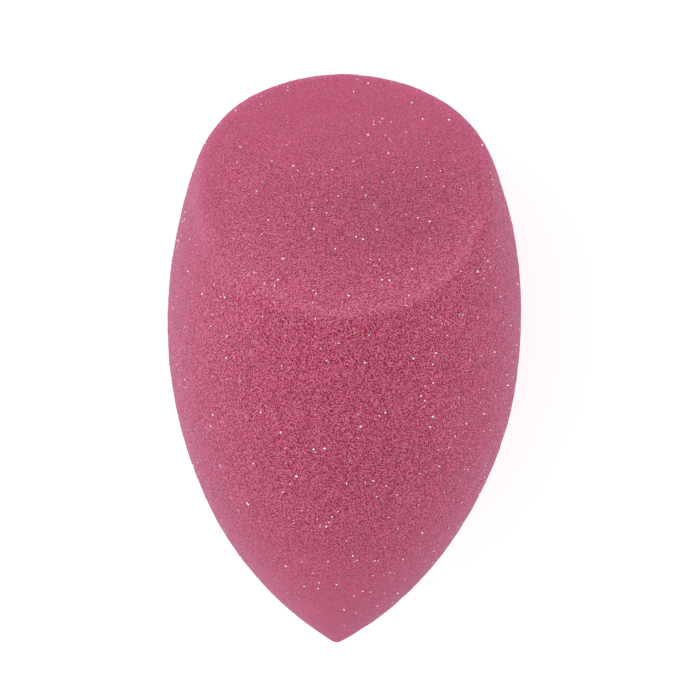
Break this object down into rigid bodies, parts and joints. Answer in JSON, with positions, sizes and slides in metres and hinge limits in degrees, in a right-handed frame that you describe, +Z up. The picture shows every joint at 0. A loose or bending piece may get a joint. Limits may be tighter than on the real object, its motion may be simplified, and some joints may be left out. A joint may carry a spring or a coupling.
{
  "type": "makeup sponge",
  "caption": "Teardrop foam makeup sponge with a pointed tip, a slanting flat face for pressing on cosmetics, and glitter flakes in its skin.",
  "frame": {"origin": "middle of the flat that the sponge lies on, right under its widest section", "axes": "+Y along the long axis from the tip to the blunt end, +Z up from the flat, the slanting face looks to +Y and +Z"},
  "size_m": [0.0401, 0.0647, 0.0395],
  "materials": {
    "foam": "matt open-pored pink foam",
    "silver_film": "metallised film, mirror bright",
    "violet_film": "metallised film, shifting violet and blue",
    "gold_film": "metallised film, warm gold"
  },
  "bodies": {
    "root": {"foam_body": "foam", "silver_glitter": "silver_film", "violet_glitter": "violet_film", "gold_glitter": "gold_film"}
  },
  "joints": []
}
